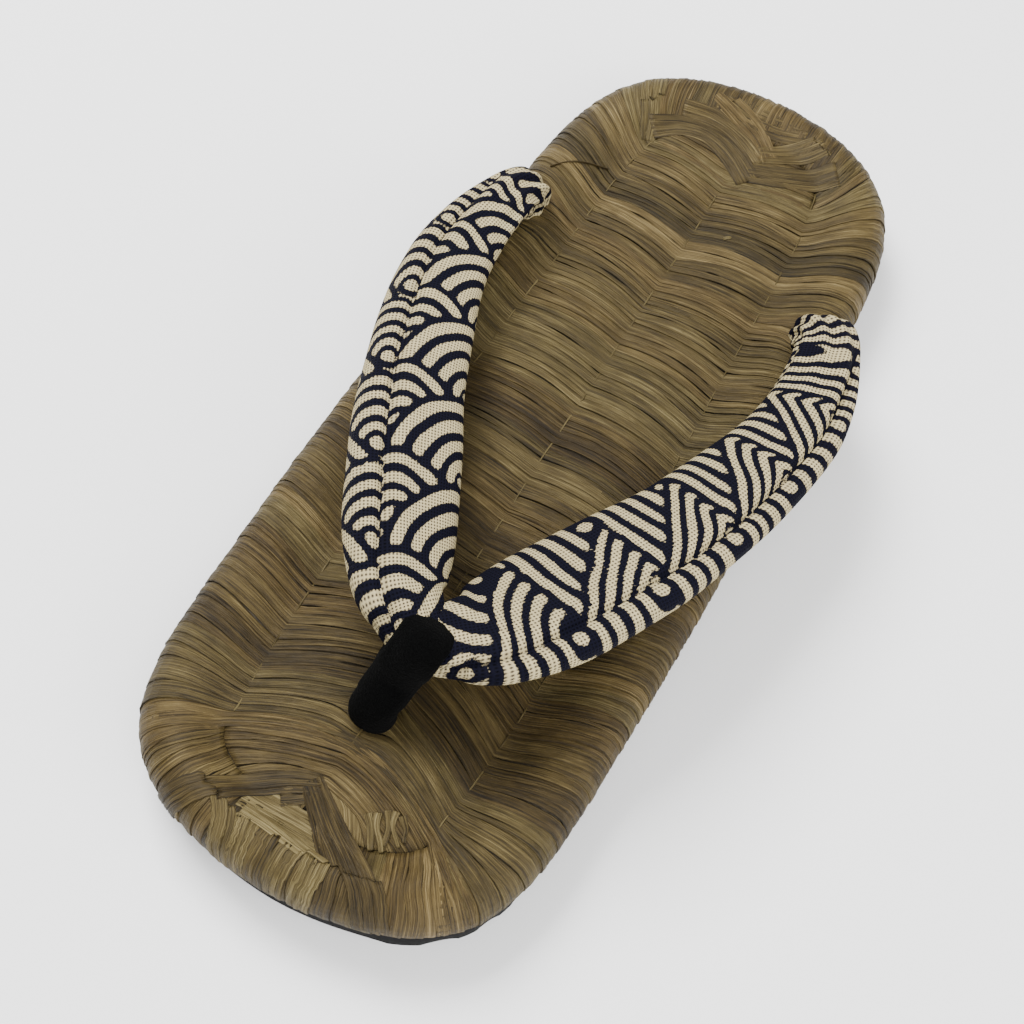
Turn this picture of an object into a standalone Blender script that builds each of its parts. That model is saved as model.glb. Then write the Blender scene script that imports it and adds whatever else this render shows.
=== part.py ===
"""Zori sandal: woven bamboo-sheath footbed, ribbed rubber outsole, padded cloth straps and velvet thong.

Metres, +Z up. The toe points to +Y, the heel to -Y, and the origin is on the floor under the middle.
The sole is the same on both sides of X = 0. The straps lean a little towards -X, as they do when set down.
"""
from math import ceil, cos, exp, pi, radians, sin

import bpy
import bmesh
from mathutils import Matrix, Vector

MM = 0.001

# Outline of the sole, seen from above
LENGTH = 255 * MM
HALF_WIDTH = 50 * MM
# Half-breadth at angle t from the heel: HALF_WIDTH times the sum of share * sin(wave * t)
OUTLINE_WAVES = (
    # wave, share
    (1, 1.167),
    (2, -0.032),
    (3, 0.211),
    (4, -0.009),
    (5, 0.042),
    (6, -0.008),
)
OUTLINE_STEPS = 72

# Rubber outsole
SOLE_THICKNESS = 8.7 * MM
SOLE_INSET = 1.8 * MM
MIDDLE_RIBS = 4
MIDDLE_PITCH = 17.0 * MM
MIDDLE_FLAT = 4.6 * MM
MIDDLE_HOLLOW = 3.4 * MM
END_PITCH = 8.6 * MM
END_FLAT = 3.2 * MM
END_HOLLOW = 2.2 * MM
HOLLOW_FULLNESS = 0.8
HOLLOW_STEPS = 6

# Woven footbed
CLEARANCE = 0.3 * MM
MAT_THICKNESS = 11.5 * MM
RIM_SIDE = 22 * MM
RIM_END = 15 * MM
SPINE_HALF = 85 * MM
RIM_ROWS = (
    # share of the rim's width inward from the edge, share of the mat's thickness
    (0.13, 0.00),
    (0.03, 0.10),
    (0.00, 0.36),
    (0.04, 0.64),
    (0.15, 0.86),
    (0.30, 0.97),
    (0.46, 1.00),
    (0.66, 0.93),
    (0.85, 0.77),
    (1.00, 0.66),
)
BAND_ROWS = (
    # share of the way from the side valley to the middle valley, share of the mat's thickness
    (0.22, 0.77),
    (0.50, 0.82),
    (0.78, 0.76),
    (1.00, 0.67),
)
BED_SHARE = 0.8
BED_LEVEL = SOLE_THICKNESS + CLEARANCE + BED_SHARE * MAT_THICKNESS
RIM_TOP = SOLE_THICKNESS + CLEARANCE + MAT_THICKNESS

# Where the straps pass through the footbed
FRONT_HOLE_BACK = 43 * MM
FRONT_HOLE_Y = LENGTH / 2 - FRONT_HOLE_BACK
REAR_HOLE_IN = 9 * MM
REAR_HOLE_X = HALF_WIDTH - REAR_HOLE_IN
REAR_HOLE_AHEAD = 71.5 * MM
REAR_HOLE_Y = REAR_HOLE_AHEAD - LENGTH / 2
# The strap's end runs straight down from this far above the rim
REAR_STRAIGHT = 1.6 * MM
REAR_SINK = 2.3 * MM

# Padded strap, given for the +X side
CROSSING_BACK = 13 * MM
CROSSING_Y = FRONT_HOLE_Y - CROSSING_BACK
STRAP_RUN = CROSSING_Y - REAR_HOLE_Y
STRAP_BULGE = 7 * MM
STRAP_SPREAD = REAR_HOLE_X + STRAP_BULGE
STRAP_RISE = 15.5 * MM
STRAP_WIDTH = 27 * MM
STRAP_THICKNESS = 11.6 * MM
STRAP_END = 11 * MM
STRAP_LEAN = 0.28
LEAN_CLEAR = 1.0 * MM
LEAN_FROM = RIM_TOP + LEAN_CLEAR
STRAP_ROWS = (
    # backward / run, outward / spread, upward / rise, width, thickness, outer edge up in degrees
    (-0.018, -0.045, 1.15, 0.40, 1.00, 10),
    (-0.003, 0.020, 1.16, 0.45, 1.00, 12),
    (0.025, 0.120, 1.18, 0.62, 1.00, 16),
    (0.063, 0.240, 1.19, 0.89, 1.00, 20),
    (0.155, 0.393, 1.19, 1.07, 1.00, 18),
    (0.29, 0.585, 1.15, 1.03, 1.00, 13),
    (0.40, 0.721, 1.05, 0.95, 1.00, 9),
    (0.50, 0.819, 0.92, 0.90, 1.00, 6),
    (0.585, 0.890, 0.81, 0.865, 1.00, 6),
    (0.665, 0.948, 0.73, 0.83, 1.00, 6),
    (0.74, 0.980, 0.69, 0.78, 1.00, 7),
    (0.82, 0.980, 0.67, 0.69, 1.00, 8),
    (0.895, 0.955, 0.65, 0.60, 1.00, 8),
    (0.95, 0.922, 0.61, 0.52, 0.97, 5),
    (0.985, 0.880, 0.50, 0.45, 0.94, 2),
)
STRAP_SIDES = (
    # side of X, extra width and extra spread at the crossing; both fade to nothing at the rear hole
    (1, -0.06 * STRAP_WIDTH, -3.5 * MM),
    (-1, 0.15 * STRAP_WIDTH, 0.0 * MM),
)
STRAP_STEPS_PER_ROW = 2
SECTION_POINTS = 20
SECTION_FULLNESS = 2.4
CREASE_AT = radians(62)
CREASE_SPREAD = radians(16)
CREASE_DEPTH = 1.1 * MM

# Velvet thong: a loop round the fold of the strap, and a stem
LOOP_WIDTH = 13.5 * MM
LOOP_FORWARD = 2.4 * MM
LOOP_HALF_LENGTH = 6.8 * MM
LOOP_WALL = 3.2 * MM
LOOP_PROUD = 2.2 * MM
LOOP_STEPS = 28
STEM_WIDTH = 10.8 * MM
STEM_THICKNESS = 8.6 * MM
STEM_ROWS = (
    # share of the way forward from the loop to the hole, share of the height from the bed to the loop
    (0.20, 0.72),
    (0.55, 0.56),
    (0.85, 0.36),
    (0.98, 0.18),
    (1.00, 0.04),
    (1.00, -0.10),
    (1.00, -0.26),
)

MATERIALS = {
    # slot: (base colour, roughness)
    "rubber": ((0.020, 0.020, 0.021), 0.75),
    "woven_sheath": ((0.330, 0.245, 0.140), 0.55),
    "strap_cloth": ((0.330, 0.300, 0.250), 0.85),
    "velvet": ((0.008, 0.008, 0.009), 0.95),
}


def outline_point(turn, inset_side=0.0, inset_end=0.0):
    """Point of the sole's outline at an angle from the heel, moved inward by the insets."""
    x = HALF_WIDTH * sum(share * sin(wave * turn) for wave, share in OUTLINE_WAVES)
    y = -LENGTH / 2 * cos(turn)
    slope_x = HALF_WIDTH * sum(share * wave * cos(wave * turn) for wave, share in OUTLINE_WAVES)
    slope_y = LENGTH / 2 * sin(turn)
    normal = Vector((slope_y, -slope_x, 0)).normalized()
    inset = inset_side * normal.x ** 2 + inset_end * normal.y ** 2
    return Vector((x, y, 0)) - normal * inset


def outline_turns():
    return [2 * pi * step / OUTLINE_STEPS for step in range(OUTLINE_STEPS)]


def clear_scene():
    for item in list(bpy.data.objects):
        bpy.data.objects.remove(item, do_unlink=True)


def make_collection(name):
    group = bpy.data.collections.new(name)
    bpy.context.scene.collection.children.link(group)
    return group


def make_material(name):
    colour, roughness = MATERIALS[name]
    material = bpy.data.materials.new(name)
    material.use_nodes = True
    shader = material.node_tree.nodes["Principled BSDF"]
    shader.inputs["Base Color"].default_value = (*colour, 1.0)
    shader.inputs["Roughness"].default_value = roughness
    shader.inputs["Metallic"].default_value = 0.0
    material.diffuse_color = (*colour, 1.0)
    return material


def add_object(name, mesh, group, material=None):
    item = bpy.data.objects.new(name, mesh)
    group.objects.link(item)
    if material:
        mesh.materials.append(material)
    return item


def loft(name, rings, closed=False, caps=True):
    """Mesh through rings that have the same number of points; closed joins the last ring to the first."""
    grid = bmesh.new()
    rows = [[grid.verts.new(point) for point in ring] for ring in rings]
    pairs = list(zip(rows, rows[1:]))
    if closed:
        pairs.append((rows[-1], rows[0]))
    count = len(rings[0])
    for low, high in pairs:
        for step in range(count):
            after = (step + 1) % count
            grid.faces.new((low[step], low[after], high[after], high[step]))
    if caps and not closed:
        grid.faces.new(list(reversed(rows[0])))
        grid.faces.new(rows[-1])
    bmesh.ops.remove_doubles(grid, verts=grid.verts, dist=1e-6)
    bmesh.ops.dissolve_degenerate(grid, edges=grid.edges, dist=1e-7)
    bmesh.ops.recalc_face_normals(grid, faces=grid.faces)
    mesh = bpy.data.meshes.new(name)
    grid.to_mesh(mesh)
    grid.free()
    mesh.shade_smooth()
    return mesh


def plate(name, points, thickness):
    """Flat outline filled and raised from z = 0 to its thickness, by way of a 2D curve."""
    outline = bpy.data.curves.new(name, "CURVE")
    outline.dimensions = "2D"
    outline.fill_mode = "BOTH"
    outline.extrude = thickness / 2
    spline = outline.splines.new("POLY")
    spline.points.add(len(points) - 1)
    for spot, (x, y) in zip(spline.points, points):
        spot.co = (x, y, 0, 1)
    spline.use_cyclic_u = True
    holder = bpy.data.objects.new(name, outline)
    bpy.context.scene.collection.objects.link(holder)
    bpy.context.view_layer.update()
    mesh = bpy.data.meshes.new_from_object(holder.evaluated_get(bpy.context.evaluated_depsgraph_get()))
    bpy.data.objects.remove(holder, do_unlink=True)
    grid = bmesh.new()
    grid.from_mesh(mesh)
    bmesh.ops.remove_doubles(grid, verts=grid.verts, dist=1e-6)
    bmesh.ops.translate(grid, verts=grid.verts, vec=(0, 0, thickness / 2))
    bmesh.ops.recalc_face_normals(grid, faces=grid.faces)
    grid.to_mesh(mesh)
    grid.free()
    return mesh


def bake_mesh(item):
    """The object's mesh with its modifiers applied."""
    bpy.context.view_layer.update()
    solved = item.evaluated_get(bpy.context.evaluated_depsgraph_get())
    return bpy.data.meshes.new_from_object(solved)


def hide_tool(item):
    item.hide_render = True
    item.display_type = "WIRE"
    return item


def add_boolean(item, tool, operation):
    step = item.modifiers.new(operation.title(), "BOOLEAN")
    step.operation = operation
    step.solver = "EXACT"
    step.object = tool


def rib_stations():
    """Middle of each rib along the sole, with its flat width and the height of the hollow beside it."""
    stations = [(0.0, MIDDLE_FLAT, MIDDLE_HOLLOW)]
    reach = 0.0
    end_ribs = ceil((LENGTH / 2 - SOLE_INSET - MIDDLE_RIBS * MIDDLE_PITCH) / END_PITCH)
    zones = (
        (MIDDLE_RIBS, MIDDLE_PITCH, MIDDLE_FLAT, MIDDLE_HOLLOW),
        (end_ribs, END_PITCH, END_FLAT, END_HOLLOW),
    )
    for count, pitch, flat, height in zones:
        for _ in range(count):
            reach += pitch
            stations += [(reach, flat, height), (-reach, flat, height)]
    return sorted(stations)


def sole_profile():
    """Side view below the outsole's top: round hollows between flat ribs that stand on the floor."""
    stations = rib_stations()
    points = []
    for (y, flat, height), (next_y, next_flat, next_height) in zip(stations, stations[1:]):
        start = y + flat / 2
        end = next_y - next_flat / 2
        rise = min(height, next_height)
        points.append((y - flat / 2, 0.0))
        for step in range(HOLLOW_STEPS):
            share = step / HOLLOW_STEPS
            points.append((start + (end - start) * share, rise * sin(pi * share) ** HOLLOW_FULLNESS))
        points.append((end, 0.0))
    last_y, last_flat, _ = stations[-1]
    points.append((last_y + last_flat / 2, 0.0))
    tip = LENGTH
    top = 2 * SOLE_THICKNESS
    points += [(tip, 0.0), (tip, top), (-tip, top), (-tip, 0.0)]
    cleaned = []
    for point in points:
        if not cleaned or (Vector(point) - Vector(cleaned[-1])).length > 1e-5:
            cleaned.append(point)
    return cleaned


def build_outsole(parts, cutters):
    plan = [outline_point(turn, SOLE_INSET, SOLE_INSET).to_2d() for turn in outline_turns()]
    slab = plate("outsole", plan, 2 * SOLE_THICKNESS)
    slab.transform(Matrix.Translation((0, 0, -SOLE_THICKNESS)))
    outsole = add_object("outsole", slab, parts, make_material("rubber"))
    side = plate("ribs", sole_profile(), 4 * HALF_WIDTH)
    # The profile's x becomes the sole's y, and its y becomes z
    side.transform(Matrix(((0, 0, 1, -2 * HALF_WIDTH), (1, 0, 0, 0), (0, 1, 0, 0), (0, 0, 0, 1))))
    ribs = hide_tool(add_object("rib_profile", side, cutters))
    add_boolean(outsole, ribs, "INTERSECT")
    return outsole


def footbed_rings():
    """Rings from the underside, round the rim and down to the middle valley."""
    underside = SOLE_THICKNESS + CLEARANCE
    rings = []
    for inward, height in RIM_ROWS:
        level = Vector((0, 0, underside + height * MAT_THICKNESS))
        side, end = RIM_SIDE * inward, RIM_END * inward
        rings.append([outline_point(turn, side, end) + level for turn in outline_turns()])
    valley = [outline_point(turn, RIM_SIDE, RIM_END) for turn in outline_turns()]
    for inward, height in BAND_ROWS:
        level = Vector((0, 0, underside + height * MAT_THICKNESS))
        ring = []
        for point in valley:
            spine = Vector((0, max(-SPINE_HALF, min(SPINE_HALF, point.y)), 0))
            ring.append(point.lerp(spine, inward) + level)
        rings.append(ring)
    return rings


def footbed_mesh():
    rings = footbed_rings()
    mesh = loft("footbed", rings, caps=False)
    grid = bmesh.new()
    grid.from_mesh(mesh)
    rim = [edge for edge in grid.edges if edge.is_boundary]
    bmesh.ops.contextual_create(grid, geom=rim)
    bmesh.ops.recalc_face_normals(grid, faces=grid.faces)
    grid.to_mesh(mesh)
    grid.free()
    return mesh


def hole_cutter(name, x, y, width, depth, cutters):
    """Upright cutter through the footbed, with the section of what passes through it and its clearance."""
    across, up = Vector((1, 0, 0)), Vector((0, 1, 0))
    rings = []
    for height in (0.0, 3 * MAT_THICKNESS):
        centre = Vector((x, y, height))
        rings.append(section_ring(centre, across, up, width / 2 + CLEARANCE, depth / 2 + CLEARANCE))
    return hide_tool(add_object(name, loft(name, rings), cutters))


def build_footbed(parts, cutters):
    footbed = add_object("footbed", footbed_mesh(), parts, make_material("woven_sheath"))
    holes = (
        ("front_hole", 0.0, FRONT_HOLE_Y, STEM_WIDTH, STEM_THICKNESS),
        ("rear_hole_a", REAR_HOLE_X, REAR_HOLE_Y, STRAP_END, STRAP_END),
        ("rear_hole_b", -REAR_HOLE_X, REAR_HOLE_Y, STRAP_END, STRAP_END),
    )
    for name, x, y, width, depth in holes:
        add_boolean(footbed, hole_cutter(name, x, y, width, depth, cutters), "DIFFERENCE")
    return footbed


def curve_through(rows, steps):
    """Rows of numbers along a smooth Catmull-Rom curve through the given rows."""
    found = []
    for index in range(len(rows) - 1):
        before = rows[max(index - 1, 0)]
        start, end = rows[index], rows[index + 1]
        after = rows[min(index + 2, len(rows) - 1)]
        for step in range(steps):
            t = step / steps
            row = []
            for a, b, c, d in zip(before, start, end, after):
                square = (2 * a - 5 * b + 4 * c - d) * t ** 2
                cube = (3 * b - a - 3 * c + d) * t ** 3
                row.append(b + 0.5 * ((c - a) * t + square + cube))
            found.append(row)
    found.append(list(rows[-1]))
    return found


def strap_stations(extra_width, extra_spread):
    """Centre, half-width, half-thickness and tilt along one strap, from the crossing into the rear hole."""
    rows = []
    for back, out, up, width, thickness, tilt in STRAP_ROWS:
        ahead = 1 - back
        rows.append((out * (STRAP_SPREAD + extra_spread * ahead), CROSSING_Y - back * STRAP_RUN,
                     BED_LEVEL + up * STRAP_RISE, width * (STRAP_WIDTH + extra_width * ahead ** 2) / 2,
                     thickness * STRAP_THICKNESS / 2, radians(tilt)))
    end_height = SOLE_THICKNESS + 2 * CLEARANCE
    for height in (RIM_TOP + REAR_STRAIGHT, RIM_TOP, BED_LEVEL - REAR_SINK, end_height):
        rows.append((REAR_HOLE_X, REAR_HOLE_Y, height, STRAP_END / 2, STRAP_END / 2, 0.0))
    return curve_through(rows, STRAP_STEPS_PER_ROW)


def section_ring(centre, across, up, half_width, half_thickness, crease=0.0):
    """Flat-oval section; the crease is a soft trough on its top, towards the outer edge of the strap."""
    ring = []
    for step in range(SECTION_POINTS):
        turn = 2 * pi * step / SECTION_POINTS
        c, s = cos(turn), sin(turn)
        size = (abs(c) ** SECTION_FULLNESS + abs(s) ** SECTION_FULLNESS) ** (-1 / SECTION_FULLNESS)
        trough = crease * exp(-((turn - CREASE_AT) / CREASE_SPREAD) ** 2)
        ring.append(centre + across * (half_width * size * c) + up * ((half_thickness * size - trough) * s))
    return ring


def strap_rings(extra_width, extra_spread):
    stations = strap_stations(extra_width, extra_spread)
    centres = [Vector(row[:3]) for row in stations]
    across = Vector((0, 1, 0))
    rings = []
    for index, row in enumerate(stations):
        ahead = centres[min(index + 1, len(centres) - 1)] - centres[max(index - 1, 0)]
        ahead.normalize()
        across = (across - ahead * across.dot(ahead)).normalized()
        turn = Matrix.Rotation(row[5], 3, ahead)
        side = turn @ across
        up = ahead.cross(side)
        fade = min(1.0, index / 6, (len(stations) - 1 - index) / 8)
        rings.append(section_ring(centres[index], side, up, row[3], row[4], CREASE_DEPTH * fade))
    return rings


def lean(mesh):
    """Leans what stands clear of the footbed towards -X."""
    for vertex in mesh.vertices:
        vertex.co.x -= STRAP_LEAN * max(0.0, vertex.co.z - LEAN_FROM)
    return mesh


def loop_middle():
    rise = STRAP_ROWS[1][2] * STRAP_RISE
    return Vector((0, CROSSING_Y + LOOP_FORWARD, BED_LEVEL + rise))


def loop_mesh(grow):
    """Velvet loop round the fold of the strap, its axis along X."""
    reach_y = LOOP_HALF_LENGTH - LOOP_WALL / 2
    reach_z = STRAP_THICKNESS / 2 + LOOP_PROUD - LOOP_WALL / 2
    middle = loop_middle()
    rings = []
    for step in range(LOOP_STEPS):
        turn = 2 * pi * step / LOOP_STEPS
        centre = Vector((0, reach_y * cos(turn), reach_z * sin(turn)))
        outward = Vector((0, cos(turn) * reach_z, sin(turn) * reach_y)).normalized()
        rings.append(section_ring(middle + centre, Vector((1, 0, 0)), outward,
                                  LOOP_WIDTH / 2 + grow, LOOP_WALL / 2 + grow))
    return loft("loop", rings, closed=True)


def stem_mesh(grow):
    """Oval stem from the front of the loop down into the front hole."""
    middle = loop_middle()
    reach = FRONT_HOLE_Y - middle.y
    rise = middle.z - BED_LEVEL
    rows = [(middle.y + forward * reach, BED_LEVEL + up * rise) for forward, up in STEM_ROWS]
    rows.append((FRONT_HOLE_Y, SOLE_THICKNESS + 2 * CLEARANCE - grow))
    points = [Vector((0, y, z)) for y, z in curve_through(rows, 2)]
    across = Vector((1, 0, 0))
    rings = []
    for index, centre in enumerate(points):
        ahead = points[min(index + 1, len(points) - 1)] - points[max(index - 1, 0)]
        up = ahead.normalized().cross(across)
        rings.append(section_ring(centre, across, up, STEM_WIDTH / 2 + grow, STEM_THICKNESS / 2 + grow))
    return loft("stem", rings)


def thong_mesh(name, grow, cutters):
    loop = hide_tool(add_object(name + "_loop", loop_mesh(grow), cutters))
    stem = hide_tool(add_object(name + "_stem", stem_mesh(grow), cutters))
    add_boolean(loop, stem, "UNION")
    return lean(bake_mesh(loop))


def build_thong(parts, cutters):
    return add_object("front_thong", thong_mesh("thong", 0.0, cutters), parts, make_material("velvet"))


def build_upper(parts, cutters):
    """Both straps as one solid, joined where they cross, with room cut for the thong's loop."""
    straps = []
    for side, extra_width, extra_spread in STRAP_SIDES:
        strap = loft("strap", strap_rings(extra_width, extra_spread))
        if side < 0:
            strap.transform(Matrix.Diagonal((-1, 1, 1, 1)))
            strap.flip_normals()
        straps.append(hide_tool(add_object("strap", strap, cutters)))
    add_boolean(straps[0], straps[1], "UNION")
    upper = add_object("upper", lean(bake_mesh(straps[0])), parts, make_material("strap_cloth"))
    room = hide_tool(add_object("thong_room", thong_mesh("thong_room", CLEARANCE, cutters), cutters))
    add_boolean(upper, room, "DIFFERENCE")
    return upper


def build():
    clear_scene()
    parts = make_collection("zori_sandal")
    cutters = make_collection("cutters")
    build_outsole(parts, cutters)
    build_footbed(parts, cutters)
    build_upper(parts, cutters)
    build_thong(parts, cutters)


build()
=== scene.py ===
"""Looks of the zori sandal: woven strips, padded cloth strap, velvet thong and ribbed rubber.

Metres, +Z up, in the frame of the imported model: the toe points to +Y and the origin is on the floor.
"""
from math import cos, exp, pi, radians, sin

import bmesh
import bpy
import numpy as np
from mathutils import Matrix, Vector
from mathutils.bvhtree import BVHTree


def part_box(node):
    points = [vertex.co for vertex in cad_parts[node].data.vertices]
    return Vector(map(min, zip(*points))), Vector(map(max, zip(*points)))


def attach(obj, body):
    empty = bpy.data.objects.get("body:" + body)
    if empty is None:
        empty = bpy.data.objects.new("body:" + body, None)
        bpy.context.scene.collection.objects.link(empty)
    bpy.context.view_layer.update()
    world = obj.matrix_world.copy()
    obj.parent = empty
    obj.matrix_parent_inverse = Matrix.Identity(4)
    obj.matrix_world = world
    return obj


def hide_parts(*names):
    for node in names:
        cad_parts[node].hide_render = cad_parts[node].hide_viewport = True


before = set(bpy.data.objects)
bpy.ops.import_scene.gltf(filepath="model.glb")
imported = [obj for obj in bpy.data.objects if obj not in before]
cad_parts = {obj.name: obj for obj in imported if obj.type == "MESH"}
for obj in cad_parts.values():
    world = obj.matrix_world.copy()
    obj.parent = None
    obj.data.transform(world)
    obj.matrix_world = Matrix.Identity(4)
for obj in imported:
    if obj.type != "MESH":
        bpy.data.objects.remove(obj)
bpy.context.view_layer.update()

MM = 0.001
rng = np.random.default_rng(20)

# Sizes shared with the construction
bed_low, bed_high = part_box("footbed")
LENGTH = bed_high.y - bed_low.y
HALF_WIDTH = 50 * MM
OUTLINE_WAVES = ((1, 1.167), (2, -0.032), (3, 0.211), (4, -0.009), (5, 0.042), (6, -0.008))
MAT_BASE = bed_low.z
MAT_THICKNESS = bed_high.z - bed_low.z
RIM_SIDE = 22 * MM
RIM_END = 15 * MM
SPINE_HALF = 85 * MM
RIM_ROWS = (
    # share of the rim's width inward from the edge, share of the mat's thickness; valley first
    (1.00, 0.72), (0.85, 0.78), (0.66, 0.92), (0.46, 1.00), (0.30, 0.97), (0.15, 0.86),
    (0.04, 0.64), (0.00, 0.36), (0.03, 0.10), (0.13, 0.00),
)
BAND_ROWS = (
    # share of the way from the side valley to the middle valley, share of the mat's thickness
    (0.00, 0.72), (0.22, 0.80), (0.50, 0.84), (0.78, 0.79), (1.00, 0.70),
)
SOLE_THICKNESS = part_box("outsole")[1].z
SOLE_INSET = 1.8 * MM
MIDDLE_RIBS, MIDDLE_PITCH, MIDDLE_FLAT, MIDDLE_HOLLOW = 4, 17.0 * MM, 4.6 * MM, 3.4 * MM
END_RIBS, END_PITCH, END_FLAT, END_HOLLOW = 7, 8.6 * MM, 3.2 * MM, 2.2 * MM
BED_LEVEL = MAT_BASE + 0.8 * MAT_THICKNESS
RIM_TOP = MAT_BASE + MAT_THICKNESS
FRONT_HOLE_Y = LENGTH / 2 - 43 * MM
REAR_HOLE_X = HALF_WIDTH - 9 * MM
REAR_HOLE_Y = 71.5 * MM - LENGTH / 2
CROSSING_Y = FRONT_HOLE_Y - 13 * MM
STRAP_RUN = CROSSING_Y - REAR_HOLE_Y
STRAP_SPREAD = REAR_HOLE_X + 7 * MM
STRAP_RISE = 15.5 * MM
STRAP_WIDTH = 27 * MM
STRAP_THICKNESS = 11.6 * MM
STRAP_END = 11 * MM
STRAP_LEAN = 0.28
LEAN_FROM = RIM_TOP + 1 * MM
STRAP_ROWS = (
    # backward / run, outward / spread, upward / rise, width, thickness, outer edge up in degrees
    (-0.018, -0.045, 1.15, 0.40, 1.00, 10),
    (-0.003, 0.020, 1.16, 0.45, 1.00, 12),
    (0.025, 0.120, 1.18, 0.62, 1.00, 16),
    (0.063, 0.240, 1.19, 0.89, 1.00, 20),
    (0.155, 0.393, 1.19, 1.07, 1.00, 18),
    (0.29, 0.585, 1.15, 1.03, 1.00, 13),
    (0.40, 0.721, 1.05, 0.95, 1.00, 9),
    (0.50, 0.819, 0.92, 0.90, 1.00, 6),
    (0.585, 0.890, 0.81, 0.865, 1.00, 6),
    (0.665, 0.948, 0.73, 0.83, 1.00, 6),
    (0.74, 0.980, 0.69, 0.78, 1.00, 7),
    (0.82, 0.980, 0.67, 0.69, 1.00, 8),
    (0.895, 0.955, 0.65, 0.60, 1.00, 8),
    (0.95, 0.922, 0.61, 0.52, 0.97, 5),
    (0.985, 0.880, 0.50, 0.45, 0.94, 2),
)
SECTION_FULLNESS = 2.4
LOOP_FORWARD = 2.4 * MM
LOOP_HALF_LENGTH = 6.8 * MM
LOOP_WALL = 3.2 * MM
LOOP_PROUD = 2.2 * MM
STEM_WIDTH = 10.8 * MM
STEM_THICKNESS = 8.6 * MM
STEM_ROWS = (
    # share of the way forward from the loop to the hole, share of the height from the bed to the loop
    (0.20, 0.72), (0.55, 0.56), (0.85, 0.36), (0.98, 0.18), (1.00, 0.04), (1.00, -0.10),
    (1.00, -0.26),
)

# The photo's camera in the sandal's frame: its place, its right-hand side, where it looks, its lens in mm
PHOTO_EYE = Vector((-0.0757, 0.2124, 0.3585))
PHOTO_RIGHT = Vector((-0.8410, -0.5404, -0.0265))
LOOK_AT = Vector((-0.0011, 0.0251, 0.018))
LENS = 60.2


# Curves and surfaces of the model

def curve_through(rows, steps):
    """Rows of numbers along a Catmull-Rom curve through the given rows."""
    rows = np.asarray(rows, float)
    padded = np.vstack([rows[:1], rows, rows[-1:]])
    found = []
    for index in range(len(rows) - 1):
        a, b, c, d = padded[index:index + 4]
        t = (np.arange(steps) / steps)[:, None]
        bend = 2 * a - 5 * b + 4 * c - d
        twist = 3 * b - a - 3 * c + d
        found.append(b + 0.5 * ((c - a) * t + bend * t ** 2 + twist * t ** 3))
    found.append(rows[-1:])
    return np.vstack(found)


def unit(vectors):
    return vectors / np.linalg.norm(vectors, axis=-1, keepdims=True)


def steps_of(points):
    return np.linalg.norm(np.diff(points, axis=0), axis=1)


def running(steps):
    """Distance along a line at each of its points, from the steps between them."""
    return np.concatenate([[0], np.cumsum(steps)])


def share_of(value, start, reach):
    """How far a value has come from a start over a reach, from 0 to 1."""
    return np.clip((value - start) / reach, 0, 1)


def ring_quads(rings, points, start=0, closed=False):
    """Quads between rings of equal length."""
    faces = []
    for row in range(rings if closed else rings - 1):
        low = start + row * points
        high = start + ((row + 1) % rings) * points
        for step in range(points):
            after = (step + 1) % points
            faces.append((low + step, low + after, high + after, high + step))
    return faces


def outline(turn, inset_side=0.0, inset_end=0.0):
    """Plan point of the sole's outline at an angle from the heel, moved inward by the insets."""
    turn = np.asarray(turn, float)
    x = HALF_WIDTH * sum(share * np.sin(wave * turn) for wave, share in OUTLINE_WAVES)
    y = -LENGTH / 2 * np.cos(turn)
    slope_x = HALF_WIDTH * sum(share * wave * np.cos(wave * turn) for wave, share in OUTLINE_WAVES)
    slope_y = LENGTH / 2 * np.sin(turn)
    size = np.hypot(slope_x, slope_y)
    nx, ny = slope_y / size, -slope_x / size
    inset = inset_side * nx ** 2 + inset_end * ny ** 2
    return x - nx * inset, y - ny * inset


RIM_LINE = curve_through(RIM_ROWS, 8)
RIM_LENGTHS = np.hypot(np.diff(RIM_LINE[:, 0]) * RIM_SIDE, np.diff(RIM_LINE[:, 1]) * MAT_THICKNESS)
RIM_WAY = RIM_LENGTHS.sum()
RIM_ARC = running(RIM_LENGTHS) / RIM_WAY
BAND_LINE = curve_through(BAND_ROWS, 8)


def rim_point(turn, share):
    """Point on the rim: share 0 is the side valley, 1 the lower border."""
    inward = np.interp(share, RIM_ARC, RIM_LINE[:, 0])
    height = np.interp(share, RIM_ARC, RIM_LINE[:, 1])
    x, y = outline(turn, RIM_SIDE * inward, RIM_END * inward)
    return np.stack([x, y, MAT_BASE + MAT_THICKNESS * height + 0 * x], -1)


def rim_normal(turn, share):
    step = 0.002
    along = rim_point(turn + step, share) - rim_point(turn - step, share)
    share_low, share_high = np.clip(share - step, 0, 1), np.clip(share + step, 0, 1)
    across = rim_point(turn, share_high) - rim_point(turn, share_low)
    return unit(np.cross(across, along))


def skin_tree():
    """Search tree of the footbed's smooth upper skin, without holes."""
    turns = np.linspace(0, 2 * pi, 480, endpoint=False)
    rows = [rim_point(turns, share) for share in np.linspace(0.85, 0, 40)]
    x, y = outline(turns, RIM_SIDE, RIM_END)
    spine_y = np.clip(y, -SPINE_HALF, SPINE_HALF)
    for share, height in BAND_LINE[1:]:
        z = np.full_like(x, MAT_BASE + MAT_THICKNESS * height)
        rows.append(np.stack([x * (1 - share), y + (spine_y - y) * share, z], -1))
    return BVHTree.FromPolygons(np.vstack(rows).tolist(), ring_quads(len(rows), len(turns)))


RAY_START = 0.1
GRID_STEP = 1 * MM
GRID_X = np.arange(-54, 55) * GRID_STEP
GRID_Y = np.arange(-131, 132) * GRID_STEP


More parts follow.
